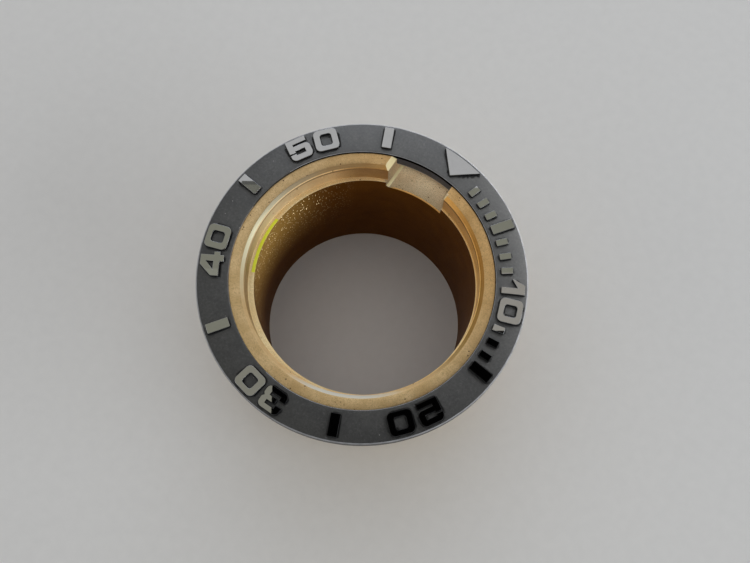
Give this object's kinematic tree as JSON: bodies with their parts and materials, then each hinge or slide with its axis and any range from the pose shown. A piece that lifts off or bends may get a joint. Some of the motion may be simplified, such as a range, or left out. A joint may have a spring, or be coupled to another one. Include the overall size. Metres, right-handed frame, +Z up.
{
  "type": "watch bezel insert",
  "caption": "Dark ceramic watch bezel insert with raised polished minute markers and numerals, seated on a turned brass holding sleeve with a notched rim.",
  "frame": {"origin": "centre of the holding sleeve's bottom face, under the middle of the insert", "axes": "+Z up along the axis of the ring and the sleeve, +Y through the middle of the notch in the sleeve's rim"},
  "size_m": [0.038, 0.038, 0.0247],
  "materials": {
    "ceramic_matte": "fine matte, blasted",
    "marker_polished": "mirror polished",
    "brass_turned": "satin, turned, lightly pitted",
    "washer_film": "natural, translucent white"
  },
  "bodies": {
    "sleeve": {"holding_sleeve": "brass_turned"},
    "washer": {"seat_washer": "washer_film"},
    "insert": {"insert_ring": "ceramic_matte", "triangle_marker": "marker_polished", "bar_05": "marker_polished", "bar_15": "marker_polished", "bar_25": "marker_polished", "bar_35": "marker_polished", "bar_45": "marker_polished", "bar_55": "marker_polished", "tick_02": "marker_polished", "tick_03": "marker_polished", "tick_04": "marker_polished", "tick_06": "marker_polished", "tick_07": "marker_polished", "tick_08": "marker_polished", "tick_12": "marker_polished", "tick_13": "marker_polished", "tick_14": "marker_polished", "numeral_10_one": "marker_polished", "numeral_10_zero": "marker_polished", "numeral_20_two": "marker_polished", "numeral_20_zero": "marker_polished", "numeral_30_three": "marker_polished", "numeral_30_zero": "marker_polished", "numeral_40_four": "marker_polished", "numeral_40_zero": "marker_polished", "numeral_50_five": "marker_polished", "numeral_50_zero": "marker_polished"}
  },
  "joints": [
    {"name": "lift_off", "type": "slide", "parent": "sleeve", "child": "washer", "axis": [0, 0, 1], "range_m": [0, 0.008]},
    {"name": "insert_turn", "type": "hinge", "parent": "washer", "child": "insert", "pos_m": [0, 0, 0.0221], "axis": [0, 0, 1], "continuous": true}
  ]
}
